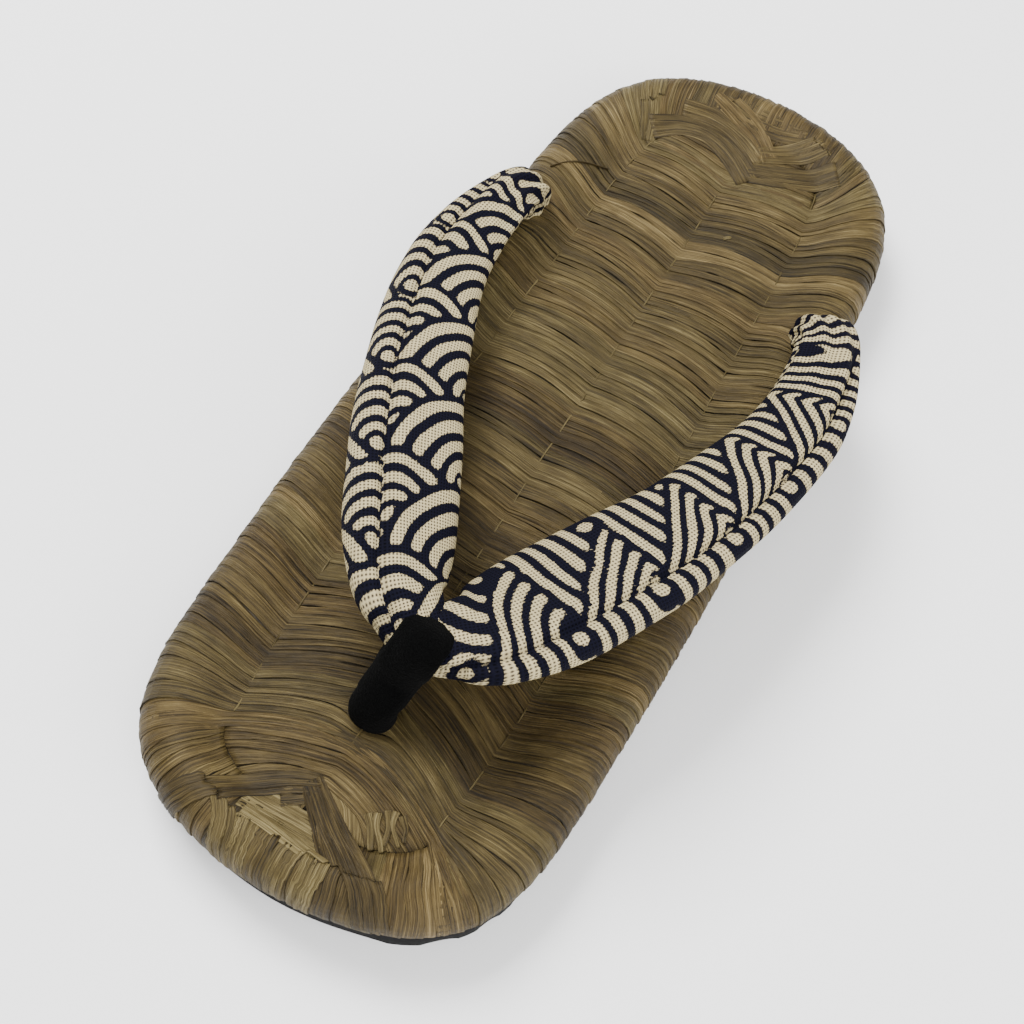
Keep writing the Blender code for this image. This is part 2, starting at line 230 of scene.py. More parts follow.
def skin_heights():
    """Heights of the skin on a plan grid, eased a little so that the valleys are round."""
    tree = skin_tree()
    heights = np.full((len(GRID_Y), len(GRID_X)), MAT_BASE)
    for row, y in enumerate(GRID_Y):
        for column, x in enumerate(GRID_X):
            spot = tree.ray_cast(Vector((x, y, RAY_START)), Vector((0, 0, -1)))[0]
            if spot is not None:
                heights[row, column] = spot.z
    heights[1:-1] = (heights[:-2] + 2 * heights[1:-1] + heights[2:]) / 4
    heights[:, 1:-1] = (heights[:, :-2] + 2 * heights[:, 1:-1] + heights[:, 2:]) / 4
    return heights


SKIN = skin_heights()


def skin_height(x, y):
    column = np.clip((x - GRID_X[0]) / GRID_STEP, 0, len(GRID_X) - 1.001)
    row = np.clip((y - GRID_Y[0]) / GRID_STEP, 0, len(GRID_Y) - 1.001)
    i, j = row.astype(int), column.astype(int)
    v, u = row - i, column - j
    low = SKIN[i, j] * (1 - u) + SKIN[i, j + 1] * u
    high = SKIN[i + 1, j] * (1 - u) + SKIN[i + 1, j + 1] * u
    return low * (1 - v) + high * v


def on_skin(x, y):
    """Points and normals of the footbed at plan places."""
    step = GRID_STEP
    slope_x = (skin_height(x + step, y) - skin_height(x - step, y)) / (2 * step)
    slope_y = (skin_height(x, y + step) - skin_height(x, y - step)) / (2 * step)
    normal = np.stack([-slope_x, -slope_y, np.ones_like(x)], -1)
    return np.stack([x, y, skin_height(x, y)], -1), unit(normal)


def smooth_noise(count, knots, size):
    """Smooth random numbers along a line."""
    rough = rng.normal(0, size, (knots, 1))
    line = curve_through(rough, 8)[:, 0]
    return np.interp(np.linspace(0, 1, count), np.linspace(0, 1, len(line)), line)


# Mesh helpers

def link_object(name, data):
    item = bpy.data.objects.new(name, data)
    bpy.context.scene.collection.objects.link(item)
    return item


def new_object(name, verts, faces, uvs=None, attributes=None, smooth=True):
    mesh = bpy.data.meshes.new(name)
    mesh.from_pydata([tuple(point) for point in verts], [], [tuple(face) for face in faces])
    if uvs is not None:
        layer = mesh.uv_layers.new(name="mm")
        corners = np.zeros(len(mesh.loops), np.int32)
        mesh.loops.foreach_get("vertex_index", corners)
        layer.data.foreach_set("uv", np.asarray(uvs, np.float32)[corners].ravel())
    for key, values in (attributes or {}).items():
        field = mesh.attributes.new(key, "FLOAT", "POINT")
        field.data.foreach_set("value", np.asarray(values, np.float32))
    if smooth:
        mesh.shade_smooth()
    return link_object(name, mesh)


def ring_faces(rings, points, start=0, closed=False):
    """Quads between rings of equal length, with a cap at each end of an open row of rings."""
    faces = ring_quads(rings, points, start, closed)
    if not closed:
        faces.append(tuple(start + step for step in reversed(range(points))))
        faces.append(tuple(start + (rings - 1) * points + step for step in range(points)))
    return faces


def adopt(item, slot, material, *nodes):
    """Puts a finished piece on the sandal's one body."""
    item.data.materials.clear()
    item.data.materials.append(material)
    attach(item, "root")
    if nodes:
        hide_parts(*nodes)
    return item


# Woven strips

STRIP_ACROSS = np.array([-1.0, -0.88, -0.45, 0.0, 0.45, 0.88, 1.0])
UNDERSIDE = [0.8, -0.8]
STRIP_BELOW = 0.5 * MM
STRIP_CROWN = 0.10 * MM
STRIP_WAVE, STRIP_GRAIN = 0.045 * MM, 0.03 * MM
# Strength of the painted shade at the strips' borders and sides, and in the hollow bed
EDGE_SHADE, HOLLOW_SHADE = 0.45, 0.22
TEXTURE_SHIFT = 400


class Strips:
    """Thin crowned ribbons joined in one mesh, with tone and texture coordinates of their own, and painted
    shade at their borders and in the hollow bed.
    """

    def __init__(self):
        self.verts, self.faces, self.uvs = [], [], []
        self.fields = {"tone": [], "warm": [], "edge": []}
        self.count = 0

    def add(self, low, high, normal, lift, tilt=0.0, tone=0.5, warm=0.5, rough=1.0):
        """One ribbon between two edge lines; tilt raises the second edge and sinks the first."""
        rings = len(low)
        lift = np.broadcast_to(lift, (rings,))
        tilt = np.broadcast_to(tilt, (rings,))
        relief = np.stack([smooth_noise(rings, 6, STRIP_WAVE * rough) for _ in STRIP_ACROSS], 1)
        relief += rng.normal(0, STRIP_GRAIN * rough, len(STRIP_ACROSS))
        height = lift[:, None] + STRIP_CROWN * (1 - np.abs(STRIP_ACROSS) ** 2.5)[None, :] + relief
        height = height + tilt[:, None] * STRIP_ACROSS[None, :]
        height = np.hstack([height, np.full((rings, 2), -STRIP_BELOW)])
        place = np.concatenate([STRIP_ACROSS, UNDERSIDE])
        half = (high - low) / 2
        points = ((low + high) / 2)[:, None, :] + half[:, None, :] * place[None, :, None]
        points = points + normal[:, None, :] * height[..., None]
        size = np.linalg.norm(half, axis=1) / MM
        along = running(steps_of((low + high) / 2) / MM)[:, None] + rng.uniform(0, TEXTURE_SHIFT)
        across = place[None, :] * size[:, None] + rng.uniform(0, TEXTURE_SHIFT)
        self.verts.append(points.reshape(-1, 3))
        self.uvs.append(np.stack([np.broadcast_to(along, across.shape), across], -1).reshape(-1, 2))
        self.faces += ring_faces(rings, len(place), self.count)
        # Painted shade: the outermost border of the top, the sides and the underside are darkened, standing
        # in for the shadow in the gaps between strips.
        edge = np.where(np.abs(place) > 0.95, EDGE_SHADE, 0.0)
        edge[-2:] = 1.0
        # Painted shade: upward-facing parts lying below the rim's top are darkened, as the hollow bed gets
        # less light.
        deep = np.clip((RIM_TOP - points[..., 2]) / (0.25 * MAT_THICKNESS), 0, 1)
        facing_up = share_of(normal[:, 2:], 0.6, 0.3)
        self.fields["edge"].append(np.clip(edge + HOLLOW_SHADE * deep * facing_up, 0, 1).ravel())
        for key, value in (("tone", tone), ("warm", warm)):
            self.fields[key].append(np.full(across.size, value))
        self.count += rings * len(place)

    def finish(self, name):
        fields = {key: np.concatenate(values) for key, values in self.fields.items()}
        return new_object(name, np.vstack(self.verts), self.faces, np.vstack(self.uvs), fields)


# How far the strips run toe-ward from the middle valley to the side valleys
BAND_SWEEP = (
    # y at the middle valley, sweep on the +X side, sweep on the -X side, all in mm
    (-112, -5.0, -6.0), (-98, -4.0, -6.0), (-88, -3.0, -3.0), (-76, -1.5, -3.0), (-62, -3.0, -3.5),
    (-50, -4.0, 0.0), (-38, -2.5, 1.5), (-20, -1.5, 4.0), (0, -1.0, 3.0), (30, -2.0, 3.0),
    (50, 3.0, 6.0), (68, 11.0, 11.0), (85, 10.0, 11.5), (100, 8.0, 7.5), (106, 7.0, 7.0),
)
# How far the rim's strips run heel-ward from the side valley to the edge
RIM_SWEEP = (
    # angle from the heel in degrees, sweep in mm
    (0, 0.0), (12, 3.0), (22, 8.0), (35, 13.5), (43, 12.0), (50, 8.5), (60, 5.5), (90, 4.0),
    (120, 6.0), (143, 3.5), (158, 0.0), (180, 0.0),
)
VALLEY_TURNS = np.linspace(0.02, pi - 0.02, 500)
VALLEY_X, VALLEY_Y = outline(VALLEY_TURNS, RIM_SIDE, RIM_END)
BAND_START, BAND_END = -104 * MM, 106 * MM
THROUGH_START, THROUGH_END = -93 * MM, 91 * MM


def valley_turn(y, side):
    """Angle at which the side valley passes a place along the sandal, from 0 to pi."""
    table = np.array(BAND_SWEEP) * MM
    sweep = np.interp(y, table[:, 0], table[:, 1 if side > 0 else 2])
    return np.interp(y + sweep, VALLEY_Y, VALLEY_TURNS), sweep


def rim_lay(turn, side, share):
    """Points and normals of the rim's strips that leave the side valley at an angle."""
    table = np.array(RIM_SWEEP)
    sweep = np.interp(np.degrees(turn), table[:, 0], table[:, 1]) * MM
    before, after = outline(turn - 0.01), outline(turn + 0.01)
    speed = np.hypot(after[0] - before[0], after[1] - before[1]) / 0.02
    line = turn - sweep / speed * np.minimum(share, 0.62) / 0.62
    line = line if side > 0 else 2 * pi - line
    return rim_point(line, share), rim_normal(line, np.clip(share, 0.01, 0.99))


def band_lay(y, side, share):
    """Points and normals of the bands' strips, from the middle valley to the side valley."""
    turn, sweep = valley_turn(y, side)
    reach = np.interp(turn, VALLEY_TURNS, VALLEY_X)
    bow = -0.9 * MM * np.sin(pi * share)
    return on_skin(side * share * reach, y + sweep * share ** 1.15 + bow)


def through_lay(y, across):
    """Points and normals of a strip from border to border; across is -2 to 2, with valleys at -1, 0 and 1."""
    points, normals = np.zeros((len(across), 3)), np.zeros((len(across), 3))
    for side in (1, -1):
        share = across * side
        band = (share >= 0) & (share <= 1)
        points[band], normals[band] = band_lay(y[band], side, share[band])
        rim = share > 1
        turn, _ = valley_turn(y[rim], side)
        points[rim], normals[rim] = rim_lay(turn, side, share[rim] - 1)
    blend = np.exp(-((np.abs(across) - 1) / 0.06) ** 2)[:, None]
    normals = normals * (1 - 0.5 * blend) + np.array([0, 0, 1]) * 0.5 * blend
    return points, unit(normals)


HOLES = (
    # where the strap's ends and the thong part the strips: centre and half width
    (REAR_HOLE_X, REAR_HOLE_Y, 5.2 * MM),
    (-REAR_HOLE_X, REAR_HOLE_Y, 5.2 * MM),
    (0.0, FRONT_HOLE_Y, 4.0 * MM),
)


def part_at_holes(points, middle):
    """Pushes a strip's edge line off the holes, to the side on which the strip runs."""
    for x, y, radius in HOLES:
        off_x = (points[:, 0] - x) / (radius * 1.5)
        near = np.exp(-off_x ** 2 * 1.4)
        off_y = points[:, 1] - y
        way = 1 if middle - y > 0 else -1
        push = radius * near * np.exp(-np.abs(off_y) / (radius * 1.3))
        points[:, 1] += way * push
    return points


SLIT_WIDTH = 0.55 * MM
TONE_SPREAD, PIECE_TONE_SPREAD = 0.16, 0.07
# How far a strip laps over its neighbours and how it tilts: inside a ribbon, and where a new one starts
LAP_LOW = (0.06 * MM, 0.20 * MM)
LAP_HIGH = (0.10 * MM, 0.45 * MM)
STRIP_TILT = (0.07 * MM, 0.13 * MM)


def slits(count, places, chance, most):
    """Width of the lens-shaped gap along a boundary between two strips."""
    gap = np.zeros(count)
    line = np.linspace(0, 1, count)
    for _ in range(places):
        if rng.uniform() < chance:
            centre, reach = rng.uniform(0.05, 0.95), rng.uniform(0.02, 0.08)
            gap = np.maximum(gap, rng.uniform(0.35, 1.0) * most * (1 - ((line - centre) / reach) ** 2))
    return gap


def ribbon_plan(start, end, least, most, split):
    """Places of the strips' boundaries; each entry is place, whether a new ribbon starts, tone and warmth."""
    rows = []
    place = start
    while place < end:
        width = rng.uniform(least, most)
        tone, warm = float(np.clip(rng.normal(0.5, TONE_SPREAD), 0, 1)), rng.uniform()
        pieces = max(1, round(width / split * rng.uniform(0.7, 1.3)))
        shares = np.cumsum(rng.uniform(0.6, 1.4, pieces))
        shares = np.concatenate([[0], shares[:-1]]) / shares[-1]
        for index, share in enumerate(shares):
            piece_tone = float(np.clip(tone + rng.normal(0, PIECE_TONE_SPREAD), 0, 1))
            rows.append((place + width * share, index == 0, piece_tone, warm))
        place += width
    return rows


def lay_ribbons(strips, rows, end, lay, count, wander, slit_places, slit_chance, dive=0.0):
    """Strips between neighbouring boundaries; lay turns a boundary's places into points and normals."""
    places = [row[0] for row in rows] + [end]
    lines = [lay(place + smooth_noise(count, 6, wander)) for place in places]
    gaps = [slits(count, slit_places, slit_chance * (0.5 if row[1] else 1.0), SLIT_WIDTH) for row in rows]
    gaps.append(np.zeros(count))
    for index, (place, fresh, tone, warm) in enumerate(rows):
        (low, low_normal), (high, high_normal) = lines[index], lines[index + 1]
        across = high - low
        across = across / np.maximum(np.linalg.norm(across, axis=1, keepdims=True), 0.05 * MM)
        next_fresh = index + 1 < len(rows) and rows[index + 1][1]
        low = low - across * (LAP_LOW[fresh] - gaps[index] / 2)[:, None]
        high = high + across * (LAP_HIGH[next_fresh] - gaps[index + 1] / 2)[:, None]
        tilt = STRIP_TILT[next_fresh] + smooth_noise(count, 5, 0.04 * MM)
        lift = rng.normal(0.03, 0.04) * MM + smooth_noise(count, 6, 0.05 * MM) - dive
        strips.add(low, high, unit(low_normal + high_normal), lift, tilt, tone=tone, warm=warm)


def build_through(strips):
    """Ribbons that run from border to border over rim, side valley, band and middle valley."""
    rim = np.linspace(2.0, 1.0, 15)[:-1]
    band = np.linspace(1.0, 0.0, 17)
    across = np.concatenate([rim, band, -band[::-1][1:], -rim[::-1]])
    rows = ribbon_plan(THROUGH_START, THROUGH_END, 3.0 * MM, 8.0 * MM, 1.9 * MM)

    def lay(y):
        points, normals = through_lay(y, across)
        return part_at_holes(points, float(np.mean(y))), normals

    lay_ribbons(strips, rows, THROUGH_END, lay, len(across), 0.35 * MM, 7, 0.36)


def build_band_ends(strips):
    """Short ribbons across the bands past the ones that run through, at the toe and at the heel."""
    band = np.linspace(1.0, 0.0, 18)
    across = np.concatenate([band, -band[::-1][1:]])
    dive = 0.5 * MM * np.exp(-((1 - np.abs(across)) / 0.05) ** 2)
    for start, end in ((BAND_START, THROUGH_START), (THROUGH_END, BAND_END)):
        rows = ribbon_plan(start, end, 2.5 * MM, 5.0 * MM, 1.7 * MM)
        lay_ribbons(strips, rows, end, lambda y: through_lay(y, across), len(across), 0.3 * MM, 5, 0.36, dive)


def build_rim_ends(strips):
    """Ribbons of the rim round the toe and the heel."""
    share = np.linspace(0, 1, 18)
    dive = 0.35 * MM * np.exp(-(share / 0.04) ** 2)
    speed = LENGTH / 2 * 0.62
    toe = [valley_turn(THROUGH_END, side)[0] for side in (1, -1)]
    heel = [valley_turn(THROUGH_START, side)[0] for side in (1, -1)]
    for start, end in ((toe[0], 2 * pi - toe[1]), (-heel[1], heel[0])):
        rows = ribbon_plan(start * speed, end * speed, 3.0 * MM, 7.5 * MM, 2.6 * MM)

        def lay(place):
            turn = place / speed
            on_plus = ((turn >= 0) & (turn <= pi))[:, None]
            folded = np.where(turn > pi, 2 * pi - turn, np.abs(turn))
            pairs = zip(rim_lay(folded, 1, share), rim_lay(folded, -1, share))
            return [np.where(on_plus, plus, minus) for plus, minus in pairs]

        lay_ribbons(strips, rows, end * speed, lay, len(share), 0.3 * MM, 3, 0.3, dive)


CREST_SHARE = 0.46
CREST_TURNS = np.linspace(0, 2 * pi, 1500)
CREST_X, CREST_Y = outline(CREST_TURNS, RIM_SIDE * CREST_SHARE, RIM_END * CREST_SHARE)
CREST_PLACE = float(np.interp(-CREST_SHARE, -RIM_LINE[:20, 0], RIM_ARC[:20]))


def wrapped(x, y):
    """Points and normals on the mat; past the rim's crest the distance runs down over the edge."""
    points, normals = on_skin(x, y)
    away = np.hypot(x[:, None] - CREST_X[None, :], y[:, None] - CREST_Y[None, :])
    nearest = away.argmin(1)
    past = np.hypot(x, y) > np.hypot(CREST_X, CREST_Y)[nearest]
    share = np.clip(CREST_PLACE + away.min(1) / RIM_WAY, 0.0, 0.99)
    turns = CREST_TURNS[nearest]
    points[past] = rim_point(turns[past], share[past])
    normals[past] = rim_normal(turns[past], share[past])
    return points, normals


PATCH_LIFT = 0.62


def lay_patch(strips, route, width, pieces, lift, tone, warm=0.3, end_width=None, count=26):
    """A ribbon of a few strips along a route in plan, given in mm."""
    line = curve_through(np.array(route) * MM, 12)
    way = running(np.hypot(*np.diff(line, axis=0).T))
    even = np.linspace(0, way[-1], count)
    line = np.stack([np.interp(even, way, line[:, 0]), np.interp(even, way, line[:, 1])], 1)
    ahead = unit(np.gradient(line, axis=0))
    side = np.stack([-ahead[:, 1], ahead[:, 0]], 1)
    width = np.linspace(width, end_width or width, count) * MM
    shares = running(rng.uniform(0.7, 1.3, pieces))
    shares = shares / shares[-1] - 0.5
    edges = []
    for index, share in enumerate(shares):
        outer = index in (0, pieces)
        offset = share * width + smooth_noise(count, 5, (0.12 if outer else 0.10) * MM)
        edges.append(wrapped(*(line + side * offset[:, None]).T))
    for index in range(pieces):
        (low, low_normal), (high, high_normal) = edges[index], edges[index + 1]
        across = unit(high - low)
        gap = slits(count, 2, 0.4, 0.3 * MM) if index else np.zeros(count)
        low = low - across * (0.06 * MM - gap)[:, None]
        high = high + across * 0.08 * MM
        height = lift * PATCH_LIFT * MM + smooth_noise(count, 5, 0.04 * MM)
        piece_tone = float(np.clip(tone + rng.normal(0, 0.05), 0, 1))
        strips.add(low, high, unit(low_normal + high_normal), height, 0.05 * MM, tone=piece_tone, warm=warm)


# Ribbons laid one by one over the ends of the mat: route in plan in mm, width, strips, lift, tone, warmth
TOE_PATCHES = (
    (((13, 112.2), (4, 111.8), (-4, 111.8), (-12, 112.4)), 2.8, 3, 0.30, 0.84, 0.2),
    (((13, 114.6), (4, 114.2), (-4, 114.2), (-12, 114.6)), 2.8, 3, 0.34, 0.92, 0.2),
    (((13, 116.4), (4, 116.4), (-4, 116.6), (-12, 117.0)), 1.8, 2, 0.38, 0.86, 0.2),
    (((17, 119.5), (15, 122.5), (13.5, 127), (13, 139)), 6.0, 3, 0.42, 0.62, 0.2),
    (((9.5, 118.5), (9, 122.5), (8.4, 127), (8, 139)), 5.0, 3, 0.40, 0.70, 0.2),
    (((4, 118.5), (4, 122.5), (3.8, 127), (3.5, 139)), 6.0, 3, 0.38, 0.36, 0.4),
    (((-2, 118.5), (-2, 122.5), (-2, 127), (-2, 139)), 5.5, 3, 0.42, 0.64, 0.2),
    (((-8, 118.5), (-8.4, 122.5), (-8.8, 127), (-9.2, 139)), 5.5, 3, 0.40, 0.76, 0.1),
    (((11.2, 117.4), (4, 117.8), (-3, 118.6), (-9.8, 119.8)), 3.0, 1, 0.66, 0.98, 0.2),
    (((6.5, 110.6), (2.5, 107.8), (1.2, 106.6)), 4.0, 2, 0.45, 0.16, 0.5),
    (((-4.0, 110.4), (-0.5, 108.0), (1.8, 106.4)), 3.6, 2, 0.50, 0.12, 0.5),
    (((2.8, 106.2), (-1.4, 110.2), (-5.2, 114.4), (-9.2, 118.6)), 2.3, 2, 0.62, 0.06, 0.6),
    (((0.5, 104.0), (6.0, 106.6), (12.1, 110.8), (17.0, 115.0), (22.2, 120.2), (27.4, 126.4), (32, 132)),
     4.2, 3, 0.66, 0.17, 0.5, 7.6),
    (((2.6, 104.2), (-2.4, 108.0), (-7.4, 111.8), (-12.4, 115.4), (-17.6, 119.6), (-22.6, 125.0), (-27, 132)),
     4.6, 3, 0.80, 0.14, 0.5, 9.5),
    (((-11.0, 104.6), (-13.6, 107.4), (-15.6, 110.8)), 1.7, 1, 0.40, 0.62, 0.2, 1.0),
    (((-12.8, 103.4), (-14.2, 106.2), (-17.9, 110.0)), 1.6, 1, 0.62, 0.74, 0.2, 0.8),
    (((-14.2, 102.0), (-16.6, 105.2), (-17.4, 108.6)), 1.7, 1, 0.46, 0.46, 0.3, 0.9),
    (((-16.2, 101.2), (-17.0, 104.2), (-20.2, 107.4)), 1.5, 1, 0.66, 0.72, 0.2, 0.7),
    (((-17.6, 101.4), (-19.8, 103.8), (-20.6, 106.0)), 1.5, 1, 0.44, 0.40, 0.3, 0.8),
)
HEEL_PATCHES = (
    (((12, -118), (4, -116.5), (-4, -116.5), (-12, -118)), 6.5, 3, 0.20, 0.45, 0.6),
    (((-3.5, -106), (-9, -110), (-15, -114.5), (-19, -119)), 6.5, 3, 0.32, 0.52, 0.4),
    (((21, -109.5), (13, -111.5), (5, -109.5), (-4.5, -102.5)), 5.5, 3, 0.34, 0.48, 0.5),
    (((15, -118), (7, -115.6), (0, -112.5), (-6, -106.0)), 6.0, 3, 0.36, 0.60, 1.0),
    (((-3.5, -98.5), (-10, -101.0), (-17, -104.8), (-24.5, -110)), 7.5, 3, 0.40, 0.32, 0.4),
    (((25.5, -99.0), (19, -104.0), (11, -105.0), (3, -101.6), (-5, -95.6)), 7.0, 4, 0.46, 0.28, 0.4),
    (((24.4, -94.5), (27.4, -102.0), (31.8, -110.0), (36.5, -119)), 4.4, 2, 0.42, 0.60, 0.1, 8.0),
)


def build_patches(strips):
    for rows in (TOE_PATCHES, HEEL_PATCHES):
        for route, width, pieces, lift, tone, warm, *end_width in rows:
            lay_patch(strips, route, width, pieces, lift, tone, warm, *end_width)


# Stitching thread in the valleys

THREAD_STEP = 1.1 * MM
THREAD_SWING = 9.5 * MM
THREAD_HALF = 0.17 * MM


def thread(strips, x, y):
    """Fine thread along a valley: stitches that rise out of the strips and dip back in."""
    way = running(np.hypot(np.diff(x), np.diff(y)))
    count = int(way[-1] / THREAD_STEP)
    even = np.linspace(0, way[-1], count)
    x, y = np.interp(even, way, x), np.interp(even, way, y)
    points, normals = on_skin(x + smooth_noise(count, max(3, count // 8), 0.12 * MM), y)
    phase = even / THREAD_SWING * 2 * pi + smooth_noise(count, max(3, count // 10), 1.2)
    stitch = -0.17 * MM + 0.26 * MM * np.cos(phase)
    side = np.cross(normals, np.gradient(points, axis=0))
    side *= THREAD_HALF / np.linalg.norm(side, axis=1, keepdims=True)
    strips.add(points - side, points + side, normals, stitch + 0.18 * MM, tone=0.72, warm=0.1, rough=0.4)


def loose_fibre(strips, places, side, lift, tone, warm):
    """One fibre that lies on the mat; places are x and y in mm, and side is half of its width."""
    points, normals = on_skin(*(np.array(places) * MM).T)
    side = np.array(side) * MM
    strips.add(points - side, points + side, normals, lift * MM, tone=tone, warm=warm, rough=0.3)


def build_threads(strips):
    inner = (VALLEY_TURNS > radians(24)) & (VALLEY_TURNS < radians(149))
    for side in (1, -1):
        thread(strips, side * VALLEY_X[inner], VALLEY_Y[inner])
    for start, end in ((-96, 78), (89, 93)):
        y = np.linspace(start, end, 200) * MM
        thread(strips, 0 * y, y)
    dark = curve_through(((28.5, -79.3), (36.0, -75.0), (40.7, -70.0)), 12)
    loose_fibre(strips, dark, (0.039, 0.13, 0), 0.55, 0.05, 0.5)
    loose_fibre(strips, ((-9.4, -75.8), (-8.6, -75.3), (-7.9, -74.4)), (0.24, -0.24, 0), 0.5, 1.0, 0.0)


CORE_BELOW = 0.45 * MM


def build_core(material):
    """Dark inside of the mat, just below the strips."""
    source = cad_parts["footbed"].data
    mesh = source.copy()
    grid = bmesh.new()
    grid.from_mesh(mesh)
    bmesh.ops.remove_doubles(grid, verts=grid.verts, dist=0.01 * MM)
    grid.normal_update()
    for vertex in grid.verts:
        vertex.co -= vertex.normal * CORE_BELOW
    grid.to_mesh(mesh)
    grid.free()
    return adopt(link_object("mat_core", mesh), "woven_sheath", material, "footbed")


# Strap

STRAP_STEPS = 19
SECTION_POINTS = 144
CREASE_DEPTH = 1.35 * MM
CREASE_SPREAD = 1.15
SWELL_HEIGHT = 0.5 * MM
SWELL_OFF, SWELL_SPREAD = 4.2, 2.6
# In mm along the strap from the front: where each change starts, and how long it takes
GATHERS_FROM, GATHERS_REACH = 112, 28
CREASE_TO, CREASE_FADE = 122, 16
DRIFT_FROM, DRIFT_REACH = 22, 80
HOLE_SQUEEZE = 1.8 * MM


def strap_stations(wider, spread):
    rows = []
    for back, out, up, width, thickness, tilt in STRAP_ROWS:
        ahead = 1 - back
        rows.append((out * (STRAP_SPREAD + spread * ahead), CROSSING_Y - back * STRAP_RUN,
                     BED_LEVEL + up * STRAP_RISE, width * (STRAP_WIDTH + wider * ahead ** 2) / 2,
                     thickness * STRAP_THICKNESS / 2, radians(tilt)))
    end_height = MAT_BASE + 0.3 * MM
    for height in (RIM_TOP + 1.6 * MM, RIM_TOP, BED_LEVEL - 2.3 * MM, end_height):
        rows.append((REAR_HOLE_X, REAR_HOLE_Y, height, STRAP_END / 2, STRAP_END / 2, 0.0))
    return curve_through(rows, STRAP_STEPS)


def superellipse(turn):
    c, s = np.cos(turn), np.sin(turn)
    size = (np.abs(c) ** SECTION_FULLNESS + np.abs(s) ** SECTION_FULLNESS) ** (-1 / SECTION_FULLNESS)
    return size * c, size * s


def strap_surface(name, wider, spread):
    """Points of the +X strap as rings, with the distance along it and round it in mm."""
    stations = strap_stations(wider, spread)
    centres = stations[:, :3]
    rings = len(stations)
    turn = 2 * pi * np.arange(SECTION_POINTS) / SECTION_POINTS
    c, s = superellipse(turn)
    along = running(steps_of(centres)) / MM
    across = Vector((0, 1, 0))
    points = np.zeros((rings, SECTION_POINTS, 3))
    around = np.zeros((rings, SECTION_POINTS))
    top = SECTION_POINTS // 4
    creases = crease_round(name, along)
    for index, place in enumerate(along):
        ahead = Vector(centres[min(index + 1, rings - 1)] - centres[max(index - 1, 0)]).normalized()
        across = (across - ahead * across.dot(ahead)).normalized()
        side = Matrix.Rotation(stations[index, 5], 3, ahead) @ across
        up = ahead.cross(side)
        plain = np.stack([stations[index, 3] * c, stations[index, 4] * s], 1)
        steps = steps_of(np.vstack([plain, plain[:1]]))
        arc = running(steps)[:-1]
        off = arc - arc[top]
        half = steps.sum() / 2
        around[index] = np.where(off > half, off - 2 * half, off) / MM
        outward = unit(np.stack([c / stations[index, 3], s / stations[index, 4]], 1))
        height = centres[index, 2]
        rear = share_of(place, GATHERS_FROM, GATHERS_REACH) * share_of(height, BED_LEVEL, 3 * MM)
        front = exp(-(place / 8) ** 2)
        off = around[index] - creases[index]
        fold = min(1.0, place / 12) * (1 - share_of(place, CREASE_TO, CREASE_FADE))
        push = -CREASE_DEPTH * fold * np.exp(-(off / CREASE_SPREAD) ** 2)
        for way in (-1, 1):
            push += SWELL_HEIGHT * fold * np.exp(-((off - way * SWELL_OFF) / SWELL_SPREAD) ** 2)
        push += 0.50 * MM * rear * np.cos(turn * 9 + 2.2 * sin(place * 0.11))
        push += 0.25 * MM * rear * np.cos(turn * 5 + 1 + place * 0.09)
        push -= HOLE_SQUEEZE * share_of(BED_LEVEL, height, 5 * MM)
        push += 0.40 * MM * front * np.cos(turn * 13 + 0.5)
        push += 0.20 * MM * np.sin(place * 0.13 + 2 * np.sin(turn)) * np.sin(turn * 2 + place * 0.05)
        section = plain + outward * push[:, None]
        points[index] = centres[index] + np.outer(section[:, 0], side) + np.outer(section[:, 1], up)
    return points, np.broadcast_to(along[:, None], around.shape).copy(), around


